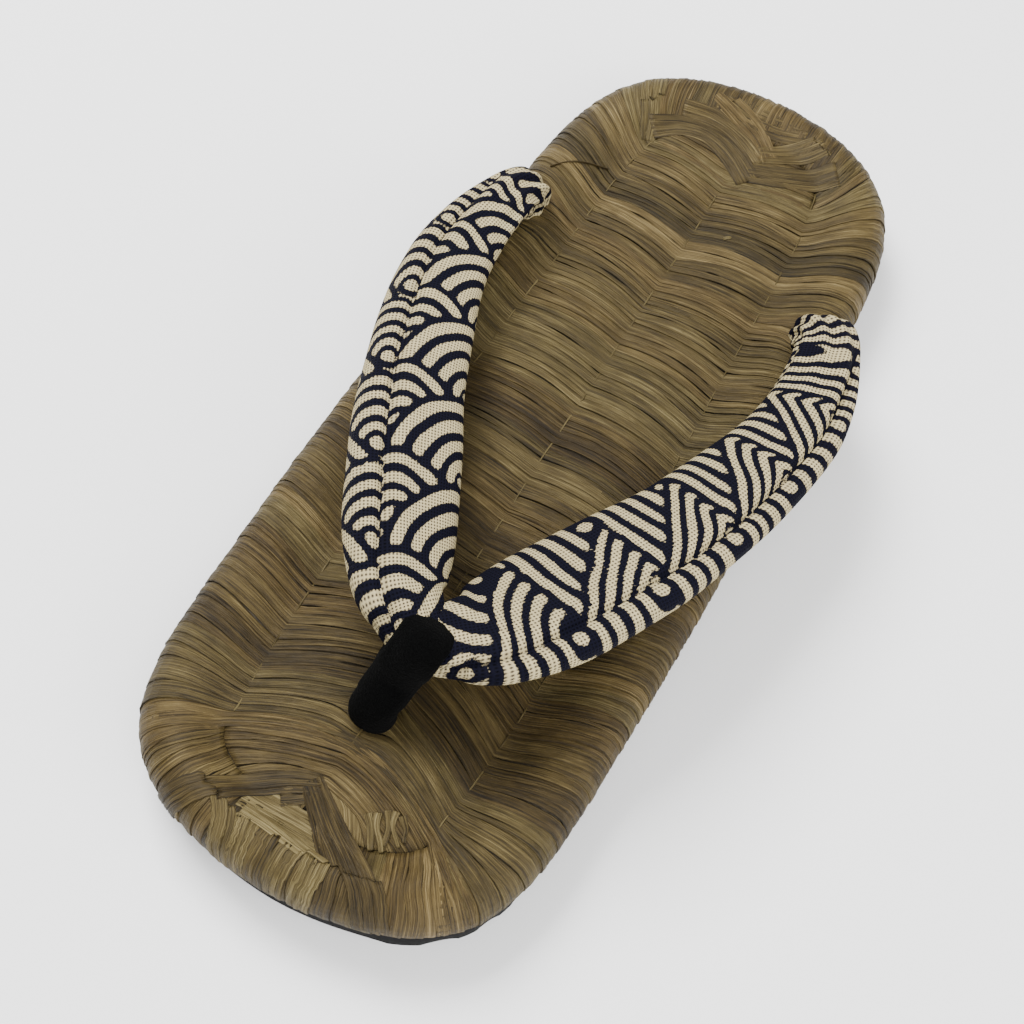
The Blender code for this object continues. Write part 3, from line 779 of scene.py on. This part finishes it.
# Wave fans: columns of discs across the cloth; each shows its white arcs where no nearer fan covers it
DOT_HALF = 1.75
FAN_GAP = 1.2
ROUND_ENDS = 1.4
FAN_REACH = 18.6
FAN_ARCS = (4.6, 8.9, 13.1, 17.2)
PLAIN_FAN = (FAN_REACH, FAN_ARCS, 1.3, 1.0, 2.0)
FAN_COLUMNS = {
    # half of the cloth, round at the front, drift to the rear, first place along, last place, period, radius,
    # radii of the arcs, half width of a stripe, squeeze across, sharpness; lengths in mm
    "plus": (
        ("outer", -10.2, 2.9, 0.0, 185, 23.9, 18.5, FAN_ARCS, 1.12, 1.2, 2.0),
        ("outer", -27.5, 0.0, 12.0, 185, 23.9, *PLAIN_FAN),
        ("outer", -46.0, 0.0, 0.0, 185, 23.9, *PLAIN_FAN),
        ("inner", -6.0, 1.5, 5.6, 185, 24.6, 16.2, (4.7, 9.3, 14.3), 1.32, 1.0, 2.0),
        ("inner", 13.4, 0.0, 17.9, 185, 24.6, 22.6, (4.6, 9.8, 15.2, 20.6), 1.48, 1.08, 2.0),
        ("inner", 33.0, 0.0, 6.0, 185, 24.3, *PLAIN_FAN),
    ),
    "minus": (
        ("outer", -12.5, 0.0, 10.0, 11, 22.0, 10.0, (4.4, 8.6), 1.0, 0.9, 2.0),
        ("outer", -13.0, 0.0, 29.5, 30, 22.0, 14.6, (4.2, 7.5, 10.6, 13.6), 0.84, 0.55, 2.0),
        ("outer", -12.4, 4.4, 50.6, 185, 21.7, 18.5, FAN_ARCS, 1.12, 0.55, 2.0),
        ("below", -31.0, 0.0, 18.0, 185, 21.9, *PLAIN_FAN),
        ("below", -49.0, 0.0, 7.0, 185, 21.9, *PLAIN_FAN),
        ("inner", -12.4, 0.0, 10.0, 11, 22.0, 10.0, (4.4, 8.6), 1.0, 0.9, 2.0),
        ("inner", -12.0, 0.0, 29.5, 30, 22.0, 14.6, (4.2, 7.5, 10.6, 13.6), 0.84, 0.64, 2.0),
        ("inner", -10.8, 3.6, 51.0, 185, 22.1, 18.2, (4.4, 8.5, 12.6, 16.8), 1.14, 0.97, 1.10),
        ("inner", 13.0, 0.0, 20.5, 21, 22.0, 21.6, (7.9, 14.0, 19.8), 1.35, 1.0, 2.0),
        ("inner", 12.8, -3.5, 48.4, 185, 22.8, 18.8, (4.5, 8.9, 13.3, 17.5), 1.14, 0.42, 2.0),
        ("above", 31.0, 0.0, 15.0, 185, 22.2, *PLAIN_FAN),
        ("above", 50.0, 0.0, 4.0, 185, 22.2, *PLAIN_FAN),
    ),
}
CREASE_ROUND = {"plus": (-8.3, -5.4), "minus": (-10.8, -6.4)}
CLOTH_ZONES = {"plus": (-90.0, 90.0), "minus": (-23.0, 21.0)}
GATHERED_FROM, GATHERED_MORE = 116, 0.35
WOBBLE = 0.24
# Half width in mm of the navy line along the crease: painted shade in the crease, which also hides the
# stripes' jagged ends
CREASE_SHADE_LINE = 0.12


def crease_round(name, along):
    """Place of the strap's crease round the tube, in mm from its top."""
    first, last = CREASE_ROUND[name]
    return first + (last - first) * share_of(along, DRIFT_FROM, DRIFT_REACH)


def soft_least(a, b, blend):
    """Smooth minimum, which rounds the corner between two edges."""
    mix = np.clip(0.5 + 0.5 * (b - a) / blend, 0, 1)
    return b + (a - b) * mix - blend * mix * (1 - mix)


def stripe_field(name, along, around):
    """Signed distance in mm to the edge of the white stripes, positive inside."""
    toward = 1 if name == "plus" else -1
    crease = crease_round(name, along)
    low, high = CLOTH_ZONES[name]
    zones = {"below": around < low, "outer": (around >= low) & (around < crease),
             "inner": (around >= crease) & (around < high), "above": around >= high}
    gathered = along + GATHERED_MORE * np.maximum(0, along - GATHERED_FROM)
    # Small waves, as no printed line is straight
    u = around + WOBBLE * np.sin(along * 0.31 + 1.3 * np.sin(around * 0.23))
    u += WOBBLE / 2 * np.sin(around * 0.57 + along * 0.17)
    v = gathered + WOBBLE * np.sin(around * 0.37 + 1.7 * np.sin(along * 0.19))
    v += WOBBLE / 2 * np.sin(along * 0.71)
    fans = []
    for zone, round_at, drift, start, end, period, *shape in FAN_COLUMNS[name]:
        # A column that runs the strap's whole length starts two fans before it
        first = start - period * (2 if end > 100 and start < 20 else 0)
        for place in np.arange(first, end, period):
            drifted = round_at + drift * share_of(place, DRIFT_FROM, DRIFT_REACH)
            fans.append((place, zone, drifted, *shape))
    # Fans are drawn from one end of the cloth, and each hides the ones drawn after it
    fans.sort(key=lambda fan: fan[0] * toward)
    field = np.full(u.shape, -2.0)
    done = np.zeros(u.shape, bool)
    cover = np.full(u.shape, 9.0)
    for place, zone, round_at, radius, arcs, half, squeeze, sharp in fans:
        here = zones[zone]
        du, dv = np.abs(u - round_at) * squeeze, np.abs(v - place)
        distance = np.maximum((du ** sharp + dv ** sharp) ** (1 / sharp), 0.01)
        slope = np.hypot(squeeze * (du / distance) ** (sharp - 1), (dv / distance) ** (sharp - 1))
        inside = here & ~done & (distance < radius)
        stripes = DOT_HALF - np.hypot(u - round_at, dv)
        for arc in arcs:
            stripes = np.maximum(stripes, half - np.abs(distance - arc))
        value = soft_least(stripes, cover - FAN_GAP, ROUND_ENDS)
        field = np.where(inside, value, field)
        done |= inside
        cover = np.where(here, np.minimum(cover, (distance - radius) / np.maximum(slope, 0.4)), cover)
    # Navy along the crease: painted shade in the crease, which also hides the jagged ends of the stripes
    # there.
    return np.minimum(field, 1.3 * (np.abs(around - crease) - CREASE_SHADE_LINE))


STRAP_SIDES = (
    # name, side, how much wider it is and how much more it spreads towards the front
    ("plus", 1, -0.06 * STRAP_WIDTH, -3.5 * MM),
    ("minus", -1, 0.15 * STRAP_WIDTH, 0.0),
)
FAR_TEXTURE = 500


def lean(points):
    """Leans the soft parts to one side, as in the photo."""
    points[..., 0] -= STRAP_LEAN * np.maximum(0.0, points[..., 2] - LEAN_FROM)


def build_straps(material):
    verts, faces, uvs, fields = [], [], [], []
    start = 0
    for name, side, wider, spread in STRAP_SIDES:
        points, along, around = strap_surface(name, wider, spread)
        fields.append(stripe_field(name, along, around).ravel())
        points[..., 0] *= side
        lean(points)
        quads = ring_faces(*around.shape, start)
        faces += [tuple(reversed(face)) for face in quads] if side < 0 else quads
        verts.append(points.reshape(-1, 3))
        uvs.append(np.stack([around, along * side + FAR_TEXTURE * (side < 0)], -1).reshape(-1, 2))
        start += around.size
    fields = {"stripe": np.concatenate(fields)}
    strap = new_object("padded_strap", np.vstack(verts), faces, np.vstack(uvs), fields)
    adopt(strap, "strap_cloth", material, "upper")
    return strap


# Velvet thong

# Width of the loop as it shows, the tube that joins loop and stem, and how the three are joined
LOOP_LOOK = 12.4 * MM
BRIDGE_WIDTH, BRIDGE_THICKNESS = 0.94 * LOOP_LOOK, 7.5 * MM
THONG_POINTS, LOOP_RINGS = 32, 64
VOXEL_SIZE, EASE_TURNS = 0.4 * MM, 22
ACROSS = np.array((1.0, 0, 0))


def rings_along(rows, width, thickness, section):
    """Rings round a smooth line through rows of y and z, in the middle of the sandal."""
    line = curve_through(rows, 8)
    rings = []
    for (y, z), (ahead_y, ahead_z) in zip(line, unit(np.gradient(line, axis=0))):
        up = np.array((0, -ahead_z, ahead_y))
        ring = np.array((0, y, z)) + np.outer(width / 2 * section[0], ACROSS)
        rings.append(ring + np.outer(thickness / 2 * section[1], up))
    return rings


def build_thong(material):
    middle = np.array(Vector((0, CROSSING_Y + LOOP_FORWARD, BED_LEVEL + STRAP_ROWS[1][2] * STRAP_RISE)))
    turn = 2 * pi * np.arange(THONG_POINTS) / THONG_POINTS
    c, s = superellipse(turn)
    reach_y = LOOP_HALF_LENGTH - LOOP_WALL / 2
    reach_z = STRAP_THICKNESS / 2 + LOOP_PROUD - LOOP_WALL / 2
    loop = []
    for step in range(LOOP_RINGS):
        angle = 2 * pi * step / LOOP_RINGS
        centre = middle + np.array((0, reach_y * cos(angle), reach_z * sin(angle)))
        outward = np.array((0, cos(angle) * reach_z, sin(angle) * reach_y))
        outward /= np.linalg.norm(outward)
        loop.append(centre + np.outer(LOOP_LOOK / 2 * c, ACROSS) + np.outer(LOOP_WALL / 2 * s, outward))
    rise = middle[2] - BED_LEVEL
    rows = [(middle[1] + on * (FRONT_HOLE_Y - middle[1]), BED_LEVEL + up * rise) for on, up in STEM_ROWS]
    rows.append((FRONT_HOLE_Y, MAT_BASE + 0.3 * MM))
    stem = rings_along(rows, STEM_WIDTH, STEM_THICKNESS, (c, s))
    # A soft hump from the top of the loop to the stem
    top_z = middle[2] + reach_z - BRIDGE_THICKNESS / 2 + LOOP_WALL / 2
    rows = [(middle[1] - 1.5 * MM, top_z), (middle[1] + 2.5 * MM, top_z), rows[1], rows[2]]
    bridge = rings_along(rows, BRIDGE_WIDTH, BRIDGE_THICKNESS, (np.cos(turn), np.sin(turn)))
    rings, faces = [], []
    for tube, closed in ((loop, True), (stem, False), (bridge, False)):
        faces += ring_faces(len(tube), THONG_POINTS, len(rings) * THONG_POINTS, closed)
        rings += tube
    verts = np.vstack(rings)
    lean(verts)
    thong = new_object("velvet_thong", verts, faces)
    remesh = thong.modifiers.new("Remesh", "REMESH")
    remesh.mode = "VOXEL"
    remesh.voxel_size = VOXEL_SIZE
    ease = thong.modifiers.new("Ease", "SMOOTH")
    ease.iterations = EASE_TURNS
    bpy.context.view_layer.update()
    solved = bpy.data.meshes.new_from_object(thong.evaluated_get(bpy.context.evaluated_depsgraph_get()))
    thong.modifiers.clear()
    thong.data = solved
    solved.shade_smooth()
    return adopt(thong, "velvet", material, "front_thong")


# Rubber outsole

def hollow_height(y):
    """Height of the outsole's underside above the floor at places along it."""
    stations = [(0.0, MIDDLE_FLAT, MIDDLE_HOLLOW)]
    reach = 0.0
    for count, pitch, flat, height in ((MIDDLE_RIBS, MIDDLE_PITCH, MIDDLE_FLAT, MIDDLE_HOLLOW),
                                       (END_RIBS, END_PITCH, END_FLAT, END_HOLLOW)):
        for _ in range(count):
            reach += pitch
            stations += [(reach, flat, height), (-reach, flat, height)]
    stations.sort()
    result = np.zeros_like(y)
    for (low, flat, height), (high, next_flat, next_height) in zip(stations, stations[1:]):
        start, end = low + flat / 2, high - next_flat / 2
        share = np.clip((y - start) / (end - start), 0, 1)
        result += np.where((y > start) & (y < end), min(height, next_height) * np.sin(pi * share) ** 0.8, 0)
    return result


SOLE_EDGE = 0.35 * MM
SHARP_FROM = radians(40)


def build_outsole(material):
    turns = np.linspace(0, pi, 900)
    half, ys = outline(turns[1:-1], SOLE_INSET, SOLE_INSET)
    low = hollow_height(ys)
    edge = SOLE_EDGE
    columns = np.linspace(-1, 1, 11)
    rings = []
    for x, y, z in zip(half, ys, low):
        x = max(x, 0.2 * MM)
        soft = min(edge, x / 3)
        ring = [(-x, y, SOLE_THICKNESS - edge), (-x, y, z + edge), (-x + soft * 0.3, y, z + edge * 0.3)]
        ring += [(column * (x - soft), y, z) for column in columns]
        ring += [(x - soft * 0.3, y, z + edge * 0.3), (x, y, z + edge), (x, y, SOLE_THICKNESS - edge)]
        ring += [(x - soft, y, SOLE_THICKNESS), (0, y, SOLE_THICKNESS), (-x + soft, y, SOLE_THICKNESS)]
        rings.append(ring)
    verts = np.array(rings).reshape(-1, 3)
    sole = new_object("rubber_sole", verts, ring_faces(len(rings), len(rings[0])))
    grid = bmesh.new()
    grid.from_mesh(sole.data)
    bmesh.ops.recalc_face_normals(grid, faces=grid.faces)
    grid.to_mesh(sole.data)
    grid.free()
    sole.data.set_sharp_from_angle(angle=SHARP_FROM)
    return adopt(sole, "rubber", material, "outsole")


# Materials

class Shader:
    """Small helper for node materials."""

    def __init__(self, name):
        self.material = bpy.data.materials.new(name)
        self.material.use_nodes = True
        self.tree = self.material.node_tree
        self.shader = self.tree.nodes["Principled BSDF"]

    def feed(self, socket, value):
        if isinstance(value, bpy.types.NodeSocket):
            self.tree.links.new(value, socket)
        else:
            socket.default_value = value

    def made(self, kind, fed, **settings):
        """Outputs of a new shader node whose inputs are fed by number or name."""
        item = self.tree.nodes.new("ShaderNode" + kind)
        for key, value in settings.items():
            setattr(item, key, value)
        for key, value in fed.items():
            self.feed(item.inputs[key], value)
        return item.outputs

    def maths(self, operation, a, b=0.0, c=0.0, clamp=False):
        return self.made("Math", {0: a, 1: b, 2: c}, operation=operation, use_clamp=clamp)[0]

    def times(self, a, b):
        return self.maths("MULTIPLY", a, b)

    def varied(self, base, field, width):
        """A base with noise added to it, centred on the noise's usual middle."""
        return self.maths("MULTIPLY_ADD", self.maths("SUBTRACT", field, 0.5), width, base)

    def put(self, key, value):
        self.feed(self.shader.inputs[key], value)

    def attribute(self, name):
        return self.made("Attribute", {}, attribute_name=name)["Fac"]

    def coordinates(self):
        """The piece's own coordinates in mm."""
        return self.made("SeparateXYZ", {0: self.made("UVMap", {}, uv_map="mm")[0]})[:2]

    def vector(self, x, y):
        return self.made("CombineXYZ", {0: x, 1: y})[0]

    def noise(self, vector, scale, detail, roughness):
        fed = {"Vector": vector, "Scale": scale, "Detail": detail, "Roughness": roughness}
        return self.made("TexNoise", fed)["Fac"]

    def drawn_out(self, u, u_scale, v, v_scale, detail, roughness):
        """Noise in the piece's own coordinates, stretched."""
        return self.noise(self.vector(self.times(u, u_scale), self.times(v, v_scale)), 1.0, detail, roughness)

    def grain(self, scale, detail, roughness):
        """Noise in the object's space."""
        return self.noise(self.made("TexCoord", {})["Object"], scale, detail, roughness)

    def ramp(self, value, stops):
        item = self.tree.nodes.new("ShaderNodeValToRGB")
        self.feed(item.inputs[0], value)
        elements = item.color_ramp.elements
        while len(elements) < len(stops):
            elements.new(0.5)
        for element, (place, colour) in zip(elements, stops):
            element.position = place
            element.color = (*colour, 1)
        return item.outputs[0]

    def mix(self, share, a, b, blend="MIX"):
        a, b = ((*value, 1) if isinstance(value, tuple) else value for value in (a, b))
        return self.made("Mix", {0: share, 6: a, 7: b}, data_type="RGBA", blend_type=blend)[2]

    def bump(self, height, distance, strength, below=None):
        fed = {"Strength": strength, "Distance": distance, "Height": height}
        if below is not None:
            fed["Normal"] = below
        return self.made("Bump", fed)[0]


SHEATH_TONES = (
    # place on the ramp, colour
    (0.0, (0.0055, 0.0036, 0.0010)),
    (0.30, (0.0283, 0.0196, 0.0053)),
    (0.60, (0.0715, 0.0530, 0.0170)),
    (1.0, (0.1900, 0.1540, 0.0700)),
)
# The second tint is the colour of the painted shade at the strips' borders, sides and undersides and in the
# hollow bed.
WARM_TINT, PAINTED_SHADE_TINT = (1.10, 0.90, 0.80), (0.20, 0.17, 0.14)
CORE_TONES = ((0.3, (0.012, 0.009, 0.005)), (0.7, (0.045, 0.034, 0.018)))
PALE_LOW, PALE_HIGH = (0.300, 0.246, 0.130), (0.445, 0.378, 0.212)
NAVY_LOW, NAVY_HIGH = (0.0008, 0.0008, 0.0014), (0.0026, 0.0026, 0.0072)
WEAVE_HOLE = (0.070, 0.056, 0.040)
WEAVE_PITCH = 0.80
VELVET_TONES = ((0.35, (0.0003, 0.0003, 0.0003)), (0.75, (0.0013, 0.0014, 0.0013)))
RUBBER_TONES = ((0.35, (0.0020, 0.0020, 0.0022)), (0.8, (0.0055, 0.0052, 0.0050)))


def sheath_material():
    paint = Shader("bamboo_sheath")
    along, across = paint.coordinates()
    streak = paint.drawn_out(along, 0.045, across, 2.6, 5.0, 0.62)
    fibre = paint.drawn_out(along, 0.09, across, 7.5, 3.0, 0.6)
    blotch = paint.drawn_out(along, 0.11, across, 0.35, 3.0, 0.55)
    tone = paint.maths("MULTIPLY_ADD", paint.attribute("tone"), 0.52, 0.02)
    for field, width in ((streak, 1.5), (fibre, 1.0), (blotch, 0.55)):
        tone = paint.varied(tone, field, width)
    tone = paint.maths("ADD", tone, 0.19, clamp=True)
    plain = paint.ramp(tone, SHEATH_TONES)
    warm = paint.mix(paint.times(paint.attribute("warm"), 0.5), plain, WARM_TINT, "MULTIPLY")
    # Painted shade: the edge field darkens the strips' borders, sides and undersides and the hollow bed.
    shade = paint.mix(paint.times(paint.attribute("edge"), 0.75), warm, PAINTED_SHADE_TINT, "MULTIPLY")
    paint.put("Base Color", shade)
    paint.put("Roughness", paint.maths("MULTIPLY_ADD", fibre, 0.25, 0.45))
    paint.put("Specular IOR Level", 0.17)
    coarse = paint.bump(streak, 0.45 * MM, 0.9)
    paint.put("Normal", paint.bump(fibre, 0.18 * MM, 0.8, coarse))
    return paint.material


def grainy_material(name, grain, tones, depth, strength, constants):
    """Dull material whose colour and relief follow one noise."""
    paint = Shader(name)
    field = paint.grain(*grain)
    paint.put("Base Color", paint.ramp(field, tones))
    for key, value in constants.items():
        paint.put(key, value)
    paint.put("Normal", paint.bump(field, depth, strength))
    return paint.material


def core_material():
    return grainy_material("mat_core", (900.0, 4.0, 0.6), CORE_TONES, 0.3 * MM, 0.8, {"Roughness": 0.85})


def cloth_material():
    paint = Shader("wave_cloth")
    around, along = paint.coordinates()
    step = pi / WEAVE_PITCH
    warp = paint.maths("ABSOLUTE", paint.maths("SINE", paint.times(around, step)))
    weft = paint.maths("ABSOLUTE", paint.maths("SINE", paint.times(along, step)))
    hole = paint.times(paint.maths("SUBTRACT", 1.0, warp), paint.maths("SUBTRACT", 1.0, weft))
    yarn = paint.maths("MAXIMUM", warp, weft)
    slub = paint.drawn_out(around, 1.3, along, 0.25, 2.0, 0.5)
    jag = paint.noise(paint.vector(around, along), 1.6, 2.0, 0.6)
    edge = paint.varied(paint.attribute("stripe"), jag, 0.8)
    edge = paint.maths("ADD", edge, paint.times(paint.maths("SUBTRACT", warp, weft), 0.10))
    white = paint.maths("MULTIPLY_ADD", edge, 5.0, 0.5, clamp=True)
    pale = paint.mix(slub, PALE_LOW, PALE_HIGH)
    pale = paint.mix(paint.maths("MULTIPLY", hole, 2.4, clamp=True), pale, WEAVE_HOLE)
    paint.put("Base Color", paint.mix(white, paint.mix(yarn, NAVY_LOW, NAVY_HIGH), pale))
    paint.put("Roughness", 0.88)
    paint.put("Specular IOR Level", 0.06)
    relief = paint.maths("SUBTRACT", paint.times(yarn, 0.7), hole)
    paint.put("Normal", paint.bump(relief, 0.22 * MM, 0.9))
    return paint.material


def velvet_material():
    pile = {"Roughness": 0.95, "Specular IOR Level": 0.04, "Sheen Weight": 0.008, "Sheen Roughness": 0.4}
    return grainy_material("black_velvet", (1800.0, 3.0, 0.7), VELVET_TONES, 0.5 * MM, 1.0, pile)


def rubber_material():
    paint = Shader("black_rubber")
    grain = paint.grain(700.0, 4.0, 0.6)
    paint.put("Base Color", paint.ramp(paint.grain(60.0, 4.0, 0.6), RUBBER_TONES))
    paint.put("Roughness", paint.maths("MULTIPLY_ADD", grain, 0.2, 0.7))
    paint.put("Specular IOR Level", 0.12)
    paint.put("Normal", paint.bump(grain, 0.15 * MM, 0.6))
    return paint.material


# Stage

FLOOR_REACH = 3
FLOOR_COLOUR = (0.86, 0.86, 0.86, 1)
WORLD_LIGHT = 0.84
LIGHTS = (
    # name, place, aim, size, power
    ("key", (0.60, -0.30, 0.95), (0, 0, 0), 0.6, 31),
    ("top", (-0.45, 0.65, 1.1), (0, 0, 0), 0.9, 14),
    ("fill", (-0.95, 0.30, 0.42), (0, 0.03, 0), 0.8, 15),
)


def build_stage():
    corners = [(x * FLOOR_REACH, y * FLOOR_REACH, 0) for x, y in ((-1, -1), (1, -1), (1, 1), (-1, 1))]
    floor = new_object("floor", corners, [(0, 1, 2, 3)], smooth=False)
    paint = Shader("pale_floor")
    paint.put("Base Color", FLOOR_COLOUR)
    paint.put("Roughness", 0.9)
    floor.data.materials.append(paint.material)
    world = bpy.data.worlds.new("studio")
    world.use_nodes = True
    background = world.node_tree.nodes["Background"]
    background.inputs[0].default_value = (1, 1, 1, 1)
    background.inputs[1].default_value = WORLD_LIGHT
    bpy.context.scene.world = world


def add_light(name, place, aim, size, power):
    data = bpy.data.lights.new(name, "AREA")
    data.size = size
    data.energy = power
    lamp = link_object(name, data)
    lamp.location = place
    lamp.rotation_euler = (Vector(aim) - Vector(place)).to_track_quat("-Z", "Y").to_euler()


def build_camera():
    ahead = (LOOK_AT - PHOTO_EYE).normalized()
    right = (PHOTO_RIGHT - ahead * PHOTO_RIGHT.dot(ahead)).normalized()
    up = right.cross(ahead)
    data = bpy.data.cameras.new("camera")
    data.lens = LENS
    data.sensor_width = 36.0
    data.clip_start = 0.01
    camera = link_object("camera", data)
    turn = Matrix((right, up, -ahead)).transposed().to_4x4()
    camera.matrix_world = Matrix.Translation(PHOTO_EYE) @ turn
    bpy.context.scene.camera = camera


def build():
    build_camera()
    build_stage()
    for light in LIGHTS:
        add_light(*light)
    sheath = sheath_material()
    build_core(core_material())
    for name, *makers in (("through_strips", build_through), ("end_strips", build_band_ends, build_rim_ends),
                          ("toe_and_heel_finish", build_patches), ("valley_thread", build_threads)):
        strips = Strips()
        for maker in makers:
            maker(strips)
        adopt(strips.finish(name), "woven_sheath", sheath)
    build_straps(cloth_material())
    build_thong(velvet_material())
    build_outsole(rubber_material())


build()
